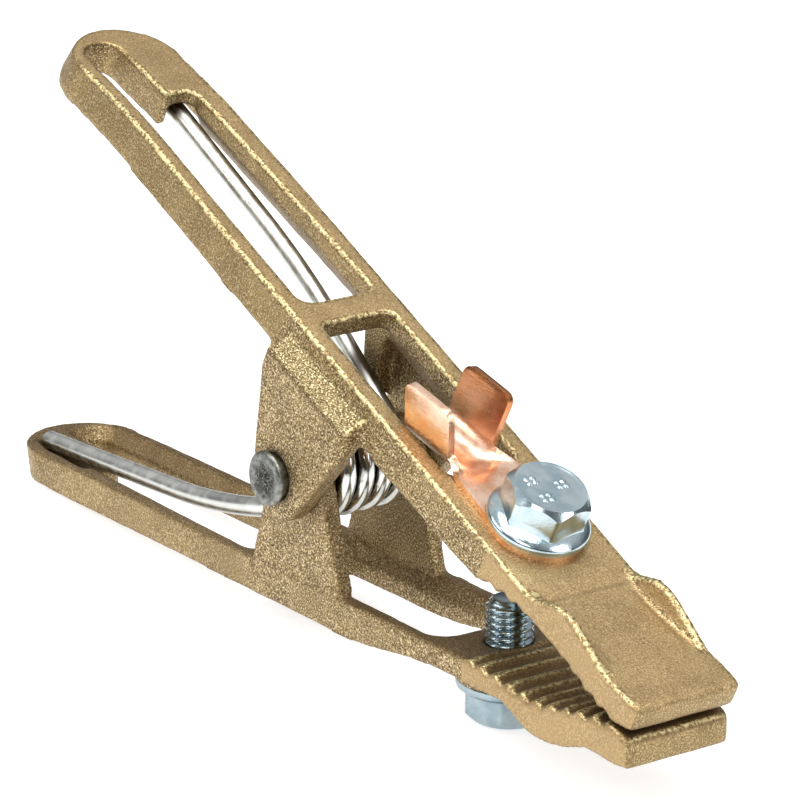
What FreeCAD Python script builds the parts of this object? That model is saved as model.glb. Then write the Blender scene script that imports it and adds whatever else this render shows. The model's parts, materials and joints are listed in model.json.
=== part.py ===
import FreeCAD, Part
import math
import os

from FreeCAD import Placement, Rotation, Vector

# Ground clamp for a welding set: two cast brass levers on a riveted pivot, held shut by a
# torsion spring, with a flange bolt in each jaw and a crimp terminal under the upper one.
# Units are millimetres. Each lever is drawn in its own lever frame: origin at the middle of
# the pivot, +X towards the jaw, +Z out through the lever's outer face. The finished clamp
# stands as it rests on a bench: +X towards the jaws, +Z up, origin under the middle of it.

# --- whole clamp ---
JAW_ANGLE = 25.3          # degrees between the two outer faces with the jaws shut
NOSE_X = 88.0             # pivot to jaw tip
OVERLAP = 0.1             # how far shapes that become one casting run into each other

# --- levers ---
UPPER_FACE = 24.2         # pivot to outer face
LOWER_FACE = 24.8
UPPER_RAIL = 7.0          # how far the handle rails reach in from the outer face
LOWER_RAIL = 6.3
TIP_DROOP = 3.0           # more than the handle's end hangs below the straight rim
TIP_FLARE = 1.5           # the handle's end leans out this much between face and rim
PLATE_THICK = 4.0         # cross web, and the plate at the handle end that the spring bears on
SLOT_WALL_DEPTH = 3.5     # slot walls stand square this far in, then splay
SLOT_SPLAY = 1.9
SLOT_END = 3.4            # metal between the slot and the handle's end
SLOT_STEP = 17.8          # length of the slot's narrow end
SLOT_HALF = 7.2
WEB_BACK = -14.8          # the cross web over the pivot, between slot and window
WEB_FRONT = -9.3
WINDOW_HALF = 7.3
UPPER_WINDOW_FRONT = 31.0
LOWER_WINDOW_FRONT = 37.0
TOOTH_PITCH = 3.5
TOOTH_DEPTH = 1.1
FIRST_TOOTH_X = 51.5
GUSSET_Y = 9.5            # inner edge of a jaw gusset's flat top
GUSSET_SLOPE = 2.2        # width of its inner slope
UPPER_TIP_END = -93.6
LOWER_TIP_END = -91.0
HANDLE_FOOT = 3.0         # the lower handle touches the bench this far in from its end

# --- ears and pivot ---
UPPER_EAR_IN = 11.9       # the upper lever's ears stand outside the lower lever's
UPPER_EAR_OUT = 15.5
LOWER_EAR_IN = 8.4
LOWER_EAR_OUT = 11.5
EAR_ROOT_Y = 9.5          # the upper ears' shoulders run in under the rails to here
BUTTRESS_Y = 8.1          # inner side of the buttress that joins each upper ear to the web
EYE_X = 0.8               # the rounded ear ends sit a little ahead of the pivot
UPPER_EYE_R = 7.2
LOWER_EYE_R = 6.8
RIVET_R = 4.0
RIVET_HEAD_R = 4.75
RIVET_HEAD = 0.9
RIVET_HALF = 17.5
PRESS_CLEAR = 0.02
RUN_CLEAR = 0.06

# --- spring ---
WIRE_R = 1.75
COIL_R = 7.2
COIL_HALF = 6.4           # ends of the coil's centreline, each side of the middle plane
COIL_TURNS = 3            # whole turns, besides the part turn between the legs
LEG_EXIT = 15.0           # degrees ahead of the lever's normal where a leg leaves the coil
LEG_KNEE_X = -30.0
LEG_TIP = (-86.5, 4.6, 19.1)
WELD_BUMP = 0.05          # the rounded joint between leg and coil stands this proud

# --- bolts: M8 flange screws ---
BOLT_X = 45.0
BOLT_R = 4.0
BOLT_HOLE_R = 4.04
FLANGE_R = 8.75
FLANGE_RIM = 1.1
FLANGE_CONE = 2.0         # width of the flange's sloping top, and how far it rises
FLANGE_CONE_RISE = 1.2
UPPER_HEAD = 7.6
LOWER_HEAD = 7.0
HEX_ACROSS = 13.0
HEX_TOP_R = 6.1           # flat of the head, inside its 45 degree chamfer
SHANK_CHAMFER = 1.2
UPPER_SHANK = 12.0
LOWER_SHANK = 13.8
UPPER_HEX_TURN = 38.0
LOWER_HEX_TURN = 49.0
BOSS_R = 9.0

# --- crimp terminal ---
SHEET = 1.3
RING_R = 8.4
RING_HOLE_R = 4.2
TERMINAL_YAW = 4.0        # degrees the terminal's tail swings towards -Y
TAIL_DROOP = 8.0          # degrees the barrel dips below the ring's plane
NECK_X = -12.5            # from the bolt axis: where the flat neck starts to curl
BARREL_FRONT = -17.5
BARREL_BACK = -28.8
BARREL_R = 5.2            # sheet centreline
BARREL_ARC = 62.0         # degrees of barrel wall each side of its bottom
BARREL_SINK = 1.0         # barrel bottom below the flat neck
NECK_HALF = 6.4
WING_TOP_Y = 6.6
WING_TOP_Z = 10.6


# ---------- drawing helpers ----------

def rounded_wire(corners, z):
    """A closed wire at height z through (x, y, radius) corners, each rounded to its radius."""
    count = len(corners)
    arcs = []
    for i, (x, y, radius) in enumerate(corners):
        here = Vector(x, y, z)
        before = Vector(corners[i - 1][0], corners[i - 1][1], z) - here
        after = Vector(corners[(i + 1) % count][0], corners[(i + 1) % count][1], z) - here
        half_turn = before.getAngle(after) / 2
        reach = radius / math.tan(half_turn)
        before.normalize()
        after.normalize()
        inward = before + after
        inward.normalize()
        middle = here + inward * (radius / math.sin(half_turn) - radius)
        arcs.append((here + before * reach, middle, here + after * reach))
    edges = []
    for i, (start, middle, end) in enumerate(arcs):
        edges.append(Part.Arc(start, middle, end).toShape())
        edges.append(Part.LineSegment(end, arcs[(i + 1) % count][0]).toShape())
    return Part.Wire(edges)


def loft(wires):
    """A straight-sided solid through closed wires."""
    return Part.makeLoft(wires, True, True)


def side_prism(points, y_low, y_high):
    """A polygon of (x, z) points pulled from y_low to y_high."""
    corners = [Vector(x, y_low, z) for x, z in points]
    corners.append(corners[0])
    return Part.Face(Part.makePolygon(corners)).extrude(Vector(0, y_high - y_low, 0))


def block(x, y, z):
    """A block between the limits (low, high) on each axis."""
    size = (x[1] - x[0], y[1] - y[0], z[1] - z[0])
    return Part.makeBox(*size, Vector(x[0], y[0], z[0]))


def rod_y(radius, half):
    return Part.makeCylinder(radius, 2 * half, Vector(0, -half, 0), Vector(0, 1, 0))


def rod_z(radius, z_low, z_high):
    """An upright cylinder on the bolt axis."""
    return Part.makeCylinder(radius, z_high - z_low, Vector(BOLT_X, 0, z_low))


def curve_through(points, steps):
    """Points along a smooth curve through (x, z) points."""
    curve = Part.BSplineCurve()
    curve.interpolate([Vector(x, 0, z) for x, z in points])
    return [(p.x, p.z) for p in curve.toShape().discretize(steps)]


def height_at(line, x):
    """Height of a line of (x, z) points at x."""
    for (x0, z0), (x1, z1) in zip(line, line[1:]):
        if x0 <= x <= x1:
            return z0 + (z1 - z0) * (x - x0) / (x1 - x0)
    return line[-1][1]


def tangent_point(point, centre, radius, side):
    """Where a line from (x, z) point touches a circle; side is +1 or -1."""
    dx = point[0] - centre[0]
    dz = point[1] - centre[1]
    angle = math.atan2(dz, dx) + side * math.acos(radius / math.hypot(dx, dz))
    return centre[0] + radius * math.cos(angle), centre[1] + radius * math.sin(angle)


# ---------- levers ----------

def plan_wire(stations, column, tip_x, z):
    """The lever's plan outline at height z: straight sides through stations, round handle end."""
    near = [Vector(row[0], -row[column], z) for row in stations]
    far = [Vector(row[0], row[column], z) for row in stations]
    grow = TIP_FLARE * (column - 1)
    edges = [Part.LineSegment(far[0], near[0]).toShape()]
    edges += [Part.LineSegment(a, b).toShape() for a, b in zip(near, near[1:])]
    edges.append(Part.Arc(near[-1], Vector(tip_x - grow, 0, z), far[-1]).toShape())
    far.reverse()
    edges += [Part.LineSegment(a, b).toShape() for a, b in zip(far, far[1:])]
    return Part.Wire(edges)


def toothed_edge(grip_points):
    """The jaw's gripping edge from tip to heel: vee teeth whose crests lie on a smooth line."""
    grip = curve_through(grip_points, 60)
    edge = [grip[0]]
    x = FIRST_TOOTH_X
    while x < NOSE_X - TOOTH_PITCH / 2:
        edge.append((x - TOOTH_PITCH / 2, height_at(grip, x - TOOTH_PITCH / 2) + TOOTH_DEPTH))
        edge.append((x - TOOTH_PITCH / 10, height_at(grip, x)))
        edge.append((x + TOOTH_PITCH / 10, height_at(grip, x)))
        x += TOOTH_PITCH
    edge.append(grip[-1])
    edge.reverse()
    return edge


def jaw_gusset(crest, foot_z, side):
    """The raised rim on one side of the jaw, with a slope down to the jaw's outer face."""
    reach = 16.0          # well past the plan outline, which trims it
    high = [(crest[0][0], foot_z)] + crest + [(crest[-1][0], foot_z)]
    low = [(x, min(z, foot_z + 0.02 * i)) for i, (x, z) in enumerate(high)]
    rim = side_prism(high, side * GUSSET_Y, side * reach)
    wires = []
    for y, points in ((GUSSET_Y, high), (GUSSET_Y - GUSSET_SLOPE, low)):
        corners = [Vector(x, side * y, z) for x, z in points]
        wires.append(Part.makePolygon(corners + [corners[0]]))
    return rim.fuse(loft(wires))


def lever_blank(outer, inner, gusset, stations, tip_x, face, rim):
    """The lever with no openings: its side view cut to its plan outline.

    outer and inner are the side view's (x, z) lines, from the handle end to the jaw tip and
    from the jaw tip back. stations are (x, half width at the face, half width at the rim)."""
    across = 30.0
    body = side_prism(outer + inner, -across, across)
    for side in (-1, 1):
        body = body.fuse(jaw_gusset(gusset, (face + rim) / 2, side))
    levels = ((1, face + 8), (1, face), (2, rim), (2, 0))
    plan = loft([plan_wire(stations, column, tip_x, z) for column, z in levels])
    return body.common(plan)


def splayed_cut(top_corners, splays, face, rim, depth_below):
    """A through opening: square walls below the outer face, then splaying to the inner side.

    splays are how far each corner moves, in x and y, by the time it reaches the rim."""
    deep = [(x + dx, y + dy, r) for (x, y, r), (dx, dy) in zip(top_corners, splays)]
    waist = face - SLOT_WALL_DEPTH
    below = rim - depth_below
    return [
        loft([rounded_wire(top_corners, face + 3), rounded_wire(top_corners, waist)]),
        loft([rounded_wire(top_corners, waist), rounded_wire(deep, rim)]),
        loft([rounded_wire(deep, rim), rounded_wire(deep, below)]),
    ]


def handle_cuts(tip_x, face, rim):
    """The handle's openings: stepped slot, spring pocket, space under the web."""
    end_x = tip_x + SLOT_END
    step_x = end_x + SLOT_STEP
    slot = [
        (end_x, -SLOT_HALF, 3.4), (end_x, 0.2, 3.4), (step_x, 0.2, 0.8),
        (step_x, 5.9, 2.0), (WEB_BACK, 7.6, 2.5), (WEB_BACK, -7.5, 3.0),
    ]
    splay = SLOT_SPLAY
    splays = [(-0.8, -splay), (-0.8, 0), (0, 0), (0, splay), (-0.4, splay), (-0.4, -splay)]
    cuts = splayed_cut(slot, splays, face, rim, TIP_DROOP)
    pocket = [
        (end_x + 0.4, 2.0, 1.0), (end_x + 0.6, 7.0, 0.8), (end_x + 6.0, 8.6, 3.0),
        (step_x + 2.0, 9.0, 0.5), (step_x + 2.0, 2.0, 0.5),
    ]
    pocket_top = LEG_TIP[2] + WIRE_R
    cuts.append(loft([rounded_wire(pocket, pocket_top), rounded_wire(pocket, 0)]))
    under_web = (WEB_BACK - 1.5, WEB_FRONT + 1.5)
    cuts.append(block(under_web, (-BUTTRESS_Y, BUTTRESS_Y), (0, face - PLATE_THICK)))
    return cuts


def window_cuts(front_x, face, rim):
    """The opening between the web and the bolt."""
    window = [
        (WEB_FRONT, -WINDOW_HALF, 1.5), (WEB_FRONT, WINDOW_HALF, 1.5),
        (front_x, WINDOW_HALF, 4.0), (front_x, -WINDOW_HALF, 4.0),
    ]
    splays = [(0, -SLOT_SPLAY), (0, SLOT_SPLAY), (1.0, SLOT_SPLAY), (1.0, -SLOT_SPLAY)]
    return splayed_cut(window, splays, face, rim, OVERLAP)


def ear_pair(shoulders, eye_r, y_in, y_out, hole_r):
    """Two tapered ears with round ends about the pivot; shoulders are their (x, z) roots."""
    eye = (EYE_X, 0.0)
    (back_low, back_high), (front_low, front_high) = shoulders
    back = tangent_point(back_low, eye, eye_r, 1)
    front = tangent_point(front_low, eye, eye_r, -1)
    outline = [back_high, back_low, back, (EYE_X, 0), front, front_low, front_high]
    ears = []
    for side in (-1, 1):
        ear = side_prism(outline, side * y_in, side * y_out)
        end = Part.makeCylinder(eye_r, y_out - y_in, Vector(EYE_X, side * y_in, 0), Vector(0, side, 0))
        ears.append(ear.fuse(end).cut(rod_y(hole_r, y_out + 5)))
    return ears


def shoulder_slope(side):
    """What is cut from the top of an upper ear, where it slopes out and down from the rail."""
    line = [(9.0, 21.8), (10.8, 21.4), (16.5, 18.9), (16.5, 26.0), (9.0, 26.0)]
    reach = 20.0          # past both ends of the ear
    corners = [Vector(-reach, side * y, z) for y, z in line]
    return Part.Face(Part.makePolygon(corners + [corners[0]])).extrude(Vector(2 * reach, 0, 0))


def buttress(side, rim):
    """The inner rib that ties one upper ear to the web, clear of the coil."""
    foot = [
        (WEB_BACK, rim), (WEB_BACK, 14.9), (-13.0, 10.3), (-10.4, 5.8), (-7.6, 6.0),
        (WEB_FRONT, 12.0), (WEB_FRONT, rim),
    ]
    tall = [(WEB_BACK, 21.0)] + foot + [(WEB_FRONT, 21.0)]
    inner = side_prism(tall, side * BUTTRESS_Y, side * EAR_ROOT_Y)
    outer = side_prism(foot, side * EAR_ROOT_Y, side * (UPPER_EAR_IN + OVERLAP))
    return [inner, outer]


def upper_lever():
    face = UPPER_FACE
    rim = face - UPPER_RAIL
    drop = curve_through([(-95, 22.0), (-84, 22.8), (-72, 23.8), (-60, face)], 12)
    outer = drop + [(57, face), (61, face - 0.2), (NOSE_X, 26.2)]
    grip = [(48.5, 17.9), (55, 19.6), (62, 20.9), (70, 20.2), (77, 19.4), (84, 19.9), (NOSE_X, 21.5)]
    lip = [(x, z - UPPER_RAIL) for x, z in reversed(drop)]
    inner = toothed_edge(grip) + [(46, 17.4), (20, rim)] + lip
    crest = [(57, 23.8), (60.3, 24.8), (64.2, 27.3), (66.6, 27.9), (69, 27.8), (73, 26.9), (79, 25.4)]
    stations = [
        (NOSE_X, 10.6, 10.6), (60, 11.0, 11.0), (45, 11.1, 11.3), (30, 10.9, 11.8),
        (-30, 10.8, 12.2), (-60, 10.3, 11.8), (-82, 9.9, 11.4),
    ]
    lever = lever_blank(outer, inner, crest, stations, UPPER_TIP_END, face, rim)
    shoulders = (((-11.7, 15.8), (-11.4, 22.0)), ((13.6, 16.4), (11.2, 22.0)))
    ears = ear_pair(shoulders, UPPER_EYE_R, UPPER_EAR_IN, UPPER_EAR_OUT, RIVET_R + PRESS_CLEAR)
    for side, ear in zip((-1, 1), ears):
        root = side_prism([(-11.6, rim), (-11.4, 22.0), (11.2, 22.0), (13.2, rim)],
                          side * EAR_ROOT_Y, side * (UPPER_EAR_IN + OVERLAP))
        lever = lever.multiFuse([ear.fuse(root).cut(shoulder_slope(side))] + buttress(side, rim))
    return finish_lever(lever, UPPER_TIP_END, UPPER_WINDOW_FRONT, face, rim)


def lower_lever():
    face = LOWER_FACE
    rim = face - LOWER_RAIL
    dish = curve_through([(14, face), (24, 24.2), (34, 22.9), (44, 22.6), (57, 22.8)], 16)
    outer = [(-95, face)] + dish + [(61, 22.9), (NOSE_X, face)]
    grip = [(49, 18.1), (55, 18.8), (62, 19.7), (68, 19.6), (75.5, 18.4), (83, 18.1), (NOSE_X, 19.6)]
    inner = toothed_edge(grip) + [(47, 18.6), (13, 18.4), (-9, rim), (-95, rim)]
    crest = [(56, 22.6), (60, 24.2), (63.5, 25.9), (66.5, 26.4), (69, 26.3), (73, 25.6), (78, 24.0)]
    stations = [
        (NOSE_X, 10.7, 10.7), (60, 11.3, 11.3), (45, 11.5, 11.5), (15, 11.8, 11.8),
        (-10, 11.5, 11.5), (-40, 11.2, 11.1), (-80, 10.9, 10.9),
    ]
    lever = lever_blank(outer, inner, crest, stations, LOWER_TIP_END, face, rim)
    shoulders = (((-11.4, 16.8), (-11.6, 20.0)), ((12.9, 16.6), (13.6, 20.0)))
    ears = ear_pair(shoulders, LOWER_EYE_R, LOWER_EAR_IN, LOWER_EAR_OUT, RIVET_R + RUN_CLEAR)
    boss = rod_z(BOSS_R, face - 4, face)
    lever = lever.multiFuse(ears + [boss])
    return finish_lever(lever, LOWER_TIP_END, LOWER_WINDOW_FRONT, face, rim)


def finish_lever(lever, tip_x, window_front, face, rim):
    """Cuts the openings and the bolt hole."""
    cuts = handle_cuts(tip_x, face, rim) + window_cuts(window_front, face, rim)
    cuts.append(rod_z(BOLT_HOLE_R, 0, face + 10))
    return lever.cut(Part.makeCompound(cuts)).removeSplitter()


# ---------- pivot, spring, bolts, terminal ----------

def pivot_rivet():
    """A plain shaft with both ends spun over into thin flat heads."""
    rivet = rod_y(RIVET_R, RIVET_HALF - RIVET_HEAD)
    for side in (-1, 1):
        base = Vector(0, side * (RIVET_HALF - RIVET_HEAD), 0)
        rivet = rivet.fuse(Part.makeCylinder(RIVET_HEAD_R, RIVET_HEAD, base, Vector(0, side, 0)))
    return rivet


def spring_leg():
    """One leg in the lever frame, from its coil end to its tip under the handle's end plate."""
    exit_angle = math.radians(90 - LEG_EXIT)
    start = Vector(COIL_R * math.cos(exit_angle), COIL_HALF, COIL_R * math.sin(exit_angle))
    tip = Vector(*LEG_TIP)
    run = start.x - LEG_KNEE_X
    knee_y = COIL_HALF + (LEG_TIP[1] - COIL_HALF) * run / (start.x - tip.x)
    knee = Vector(LEG_KNEE_X, knee_y, start.z + run * math.tan(math.radians(LEG_EXIT)))
    back = (start - knee).normalize()
    on = (tip - knee).normalize()
    half_turn = back.getAngle(on) / 2
    reach = 0.45 * run
    radius = reach * math.tan(half_turn)
    inward = (back + on).normalize()
    middle = knee + inward * (radius / math.sin(half_turn) - radius)
    bend_in = knee + back * reach
    bend_out = knee + on * reach
    path = Part.Wire([
        Part.LineSegment(start, bend_in).toShape(),
        Part.Arc(bend_in, middle, bend_out).toShape(),
        Part.LineSegment(bend_out, tip).toShape(),
    ])
    section = Part.Wire(Part.Circle(start, bend_in - start, WIRE_R).toShape())
    return path.makePipeShell([section], True, False).fuse(Part.makeSphere(WIRE_R + WELD_BUMP, start))


def spring_coil(lower_pitch, upper_pitch):
    """The coil between the legs, wound from the lower lever's side to the upper's."""
    start = lower_pitch - 90 + LEG_EXIT
    sweep = 360 * COIL_TURNS + (upper_pitch + 90 - LEG_EXIT) - start
    pitch = 2 * COIL_HALF * 360 / sweep
    path = Part.makeHelix(pitch, 2 * COIL_HALF, COIL_R, 0, True)
    section = Part.Wire(Part.Circle(Vector(COIL_R, 0, 0), Vector(0, -1, 0), WIRE_R).toShape())
    coil = Part.Wire(path.Edges).makePipeShell([section], True, True)
    coil.Placement = Placement(Vector(0, -COIL_HALF, 0), Rotation(Vector(1, 0, 0), -90))
    coil.rotate(Vector(0, 0, 0), Vector(0, 1, 0), -start)
    return coil


def flange_bolt(seat, head_height, shank, turn):
    """An M8 flange screw, head outwards, its flange seated at height seat."""
    rim_top = seat + FLANGE_RIM
    head = rod_z(FLANGE_R, seat, rim_top)
    cone_top_r = FLANGE_R - FLANGE_CONE
    cone = Part.makeCone(FLANGE_R, cone_top_r, FLANGE_CONE_RISE, Vector(BOLT_X, 0, rim_top))
    corner_r = HEX_ACROSS / math.sqrt(3)
    corners = []
    for i in range(7):
        angle = math.radians(turn + 60 * i)
        corners.append(Vector(BOLT_X + corner_r * math.cos(angle), corner_r * math.sin(angle), rim_top))
    hexagon = Part.Face(Part.makePolygon(corners)).extrude(Vector(0, 0, head_height - FLANGE_RIM))
    chamfer = Part.makeCone(HEX_TOP_R + head_height, HEX_TOP_R, head_height, Vector(BOLT_X, 0, seat))
    tip = Part.makeCone(BOLT_R - SHANK_CHAMFER, BOLT_R, SHANK_CHAMFER, Vector(BOLT_X, 0, seat - shank))
    stem = rod_z(BOLT_R, seat - shank + SHANK_CHAMFER, seat)
    return head.multiFuse([cone, hexagon.common(chamfer), stem, tip])


def dipped(x, y, z, droop):
    """A terminal point, turned down by droop about the line where the flat neck ends."""
    dx = x - NECK_X
    return Vector(NECK_X + dx * math.cos(droop) - z * math.sin(droop), y,
                  dx * math.sin(droop) + z * math.cos(droop))


def trough_edges(x, droop, tops):
    """The curled sheet's section at x: outer arc, then inner arc, joined over tops (y, z)."""
    centre = BARREL_R - BARREL_SINK
    arcs = []
    for radius in (BARREL_R + SHEET / 2, BARREL_R - SHEET / 2):
        points = []
        for angle in (-BARREL_ARC, 0, BARREL_ARC):
            a = math.radians(angle)
            points.append(dipped(x, radius * math.sin(a), centre - radius * math.cos(a), droop))
        arcs.append(points)
    outer, inner = arcs
    right = [outer[2]] + [dipped(x, y, z, droop) for y, z in tops] + [inner[2]]
    left = [inner[0]] + [dipped(x, -y, z, droop) for y, z in reversed(tops)] + [outer[0]]
    edges = [Part.Arc(*outer).toShape()]
    edges += [Part.LineSegment(a, b).toShape() for a, b in zip(right, right[1:])]
    edges.append(Part.Arc(*reversed(inner)).toShape())
    edges += [Part.LineSegment(a, b).toShape() for a, b in zip(left, left[1:])]
    return Part.Wire(edges)


def crimp_terminal():
    """Sheet copper: a ring, a neck, and an open barrel with two wings standing up."""
    droop = math.radians(TAIL_DROOP)
    half = SHEET / 2
    tops = [(WING_TOP_Y + half, WING_TOP_Z - 0.1), (WING_TOP_Y - half, WING_TOP_Z + 0.1)]
    section = Part.Face(trough_edges(BARREL_BACK, droop, tops))
    length = BARREL_FRONT - BARREL_BACK
    barrel = section.extrude(Vector(length * math.cos(droop), 0, length * math.sin(droop)))
    flat = [(-NECK_HALF, -half), (NECK_HALF, -half), (NECK_HALF, half), (-NECK_HALF, half)]
    flat_wire = Part.makePolygon([Vector(NECK_X, y, z) for y, z in flat + [flat[0]]])
    curl = loft([trough_edges(BARREL_FRONT, droop, []), flat_wire])
    ring = Part.makeCylinder(RING_R, SHEET, Vector(0, 0, -half))
    shoulder_x = -RING_R * 0.4
    shoulder_y = RING_R * 0.9
    neck = [
        (NECK_X, -NECK_HALF), (shoulder_x, -shoulder_y), (shoulder_x, shoulder_y), (NECK_X, NECK_HALF),
    ]
    corners = [Vector(x, y, -half) for x, y in neck]
    plate = Part.Face(Part.makePolygon(corners + [corners[0]])).extrude(Vector(0, 0, SHEET))
    terminal = ring.multiFuse([plate, curl, barrel])
    terminal = terminal.cut(Part.makeCylinder(RING_HOLE_R, 10, Vector(0, 0, -5)))
    terminal.rotate(Vector(0, 0, 0), Vector(0, 0, 1), TERMINAL_YAW)
    terminal.translate(Vector(BOLT_X, 0, UPPER_FACE + half))
    return terminal.removeSplitter()


# ---------- assembly ----------

def main():
    # The clamp rests on the back edge of the lower bolt's head and on its handle's end.
    head_back = BOLT_X - HEX_ACROSS / 2
    foot_x = LOWER_TIP_END + HANDLE_FOOT
    rest_tilt = math.degrees(math.atan2(LOWER_HEAD, head_back - foot_x))
    lower_pitch = rest_tilt
    upper_pitch = rest_tilt - JAW_ANGLE
    flip = Placement(Vector(0, 0, 0), Rotation(Vector(1, 0, 0), 180))
    lower_place = Placement(Vector(0, 0, 0), Rotation(Vector(0, 1, 0), -lower_pitch)).multiply(flip)
    upper_place = Placement(Vector(0, 0, 0), Rotation(Vector(0, 1, 0), -upper_pitch))

    def moved(shape, place):
        copy = shape.copy()
        copy.Placement = place.multiply(copy.Placement)
        return copy

    legs = [moved(spring_leg(), lower_place), moved(spring_leg(), upper_place)]
    spring = spring_coil(lower_pitch, upper_pitch).multiFuse(legs)
    upper_bolt = flange_bolt(UPPER_FACE + SHEET, UPPER_HEAD, UPPER_SHANK, UPPER_HEX_TURN)
    lower_bolt = flange_bolt(LOWER_FACE, LOWER_HEAD, LOWER_SHANK, LOWER_HEX_TURN)
    nodes = {
        "lower_lever": moved(lower_lever(), lower_place),
        "lower_flange_bolt": moved(lower_bolt, lower_place),
        "upper_lever": moved(upper_lever(), upper_place),
        "upper_flange_bolt": moved(upper_bolt, upper_place),
        "cable_terminal": moved(crimp_terminal(), upper_place),
        "pivot_rivet": moved(pivot_rivet(), upper_place),
        "torsion_spring": spring,
    }
    whole = Part.makeCompound(list(nodes.values())).optimalBoundingBox(False, False)
    origin = Vector((whole.XMin + whole.XMax) / 2, (whole.YMin + whole.YMax) / 2, whole.ZMin)
    os.makedirs("parts", exist_ok=True)
    for name, shape in nodes.items():
        shape.translate(origin * -1)
        shape.exportStep("parts/" + name + ".step")
        print(name, "solids", len(shape.Solids), "valid", shape.isValid(), "volume", round(shape.Volume))
    print("pivot", -origin.x, -origin.y, -origin.z, "tilt", rest_tilt)
    print("size", whole.XLength, whole.YLength, whole.ZLength)


main()
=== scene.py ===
import json
import math

import bmesh
import bpy
import numpy as np
from mathutils import Matrix, Vector, bvhtree, kdtree, noise


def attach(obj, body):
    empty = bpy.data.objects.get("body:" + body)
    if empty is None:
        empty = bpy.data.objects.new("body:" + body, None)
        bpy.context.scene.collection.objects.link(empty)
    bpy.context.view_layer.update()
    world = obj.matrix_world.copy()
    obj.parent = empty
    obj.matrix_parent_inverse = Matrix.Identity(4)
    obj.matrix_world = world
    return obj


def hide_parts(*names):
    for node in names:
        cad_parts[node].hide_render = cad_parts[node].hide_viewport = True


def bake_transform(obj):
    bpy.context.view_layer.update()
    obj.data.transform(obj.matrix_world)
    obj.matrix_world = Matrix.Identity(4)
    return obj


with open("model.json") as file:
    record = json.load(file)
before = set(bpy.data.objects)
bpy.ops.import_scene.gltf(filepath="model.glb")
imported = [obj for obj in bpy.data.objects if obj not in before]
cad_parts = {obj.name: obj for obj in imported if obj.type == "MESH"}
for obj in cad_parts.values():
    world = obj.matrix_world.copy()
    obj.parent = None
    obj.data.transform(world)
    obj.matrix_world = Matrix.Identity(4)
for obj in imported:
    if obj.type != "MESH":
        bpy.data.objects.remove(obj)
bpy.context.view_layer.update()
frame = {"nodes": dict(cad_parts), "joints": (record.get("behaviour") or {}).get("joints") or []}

# Ground clamp: two cast brass levers on a riveted pivot, a torsion spring, a flange bolt in
# each jaw and a copper crimp terminal. Lengths below are millimetres in a lever's own frame,
# origin at the pivot, +X towards the jaw, +Z out through its outer face; MM turns them into
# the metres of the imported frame.
MM = 0.001

# --- pose of the two levers at rest ---
JAW_ANGLE = 25.3
REST_TILT = 3.1673
PIVOT = Vector(frame["joints"][0]["pos_m"])
UPPER = Matrix.Translation(PIVOT) @ Matrix.Rotation(math.radians(JAW_ANGLE - REST_TILT), 4, "Y")
LOWER = (Matrix.Translation(PIVOT) @ Matrix.Rotation(math.radians(-REST_TILT), 4, "Y")
         @ Matrix.Rotation(math.pi, 4, "X"))

# --- castings ---
VOXEL = 0.42
WELD = 0.002              # corners nearer than this are one
CAST_SMOOTHING = 5
RELAX_ROUNDS = 18
TOOTH_ROUNDING = 0.25     # how strongly a round of relaxing pulls,
CORNER_ROUNDING = 0.5
TOOTH_FADE = 1.2          # and over what length it grows to that
NOSE_FADE = 2.0
SHARP_ANGLE = math.radians(24)      # convex edges sharper than this get rubbed
EDGE_STEP = 0.4
EAR_ROOT = 12.1           # outside this the outer edges belong to an ear
OUTER_REACH = 1.25        # how far the burnish spreads from an outer edge
INNER_REACH = 0.7         # and from any other edge
JAW_REACH = 1.3           # and, partly as painted highlight, from the edges of the teeth
TIP_WEAR_X = -88.0        # edge wear fades towards the handle's tip, to little by here,
TIP_WEAR_RUN = 7.0        # over this length
HANDLE_FROM_X = -14.0     # behind this the side walls are the handle's
JAW_START_X = 47.0
NOSE_ROUND_X = 85.5       # ahead of this the nose's corners round off
NOSE_PLAIN_X = 86.0       # ahead of this the outer edges are little rubbed
TEETH_Z = 21.4            # the toothed faces lie inside this,
ROUND_FROM_Y = 8.8        # and round off outside this
ARCH = (13.6, 16.6)       # inner corner where an ear's front edge meets the rail, rounded
ARCH_R = 3.4
ARCH_Y = 11.2
SHOULDER = ((-12.0, 11.8), (11.0, 15.4), (18.7, 22.0))   # x, y, z: where an upper ear slopes in
CREASE_Z = 18.9             # lower edge of that slope
CREASE_Y = 14.0
PARTING_X = 60.5          # faint line across the jaw's outer face
PARTING_Y = 8.5
LINE_HALF = 0.35          # half width of that line and of the crease's painted shade
GUSSET_FOOT_Y = 7.5       # where a jaw gusset's slope meets the flat face, with painted shade along it
GUSSET_FOOT_X = (62.0, 77.0)
GUSSET_FOOT_HALF = 0.6
SWELL = ((4.5, 0.07), (1.3, 0.025))      # size and height of the skin's unevenness
SKY_REACH = 30.0          # anything farther away doesn't shut a surface in

# --- bolts ---
BOLT_X = 45.0
UPPER_FACE = 24.2
LOWER_FACE = 24.8
SHEET = 1.3
BOLT_R = 4.0
THREAD_PITCH = 1.25
THREAD_DEPTH = 0.62
THREAD_SLOPE = 1.25       # more than 1 leaves flat crests
THREAD_ROOT = 0.86        # less than 1 leaves flat roots
THREAD_ROWS = 10          # rings for each turn of the thread
TIP_CHAMFER = 1.2
TIP_PROFILE = ((0.4, -0.02), (2.5, 0.0))     # radius, and height from the shank's end
FLANGE_R = 8.75
FLANGE_RIM = 1.1
FLANGE_CREST = 2.45
HEX_HALF = 6.5
HEX_CORNER_R = 7.36
HEX_TOP_R = 6.1
HEX_FILLET = 0.12         # width of the small fillet round the hexagon's foot
SEAT_PROFILE = (          # radius, and height from the seat
    (7.6, 0.0), (8.5, 0.0), (8.68, 0.08), (FLANGE_R, 0.3), (FLANGE_R, 0.8), (8.7, 0.98),
)
DOME_R = 8.6              # where the dome meets the rim
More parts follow.
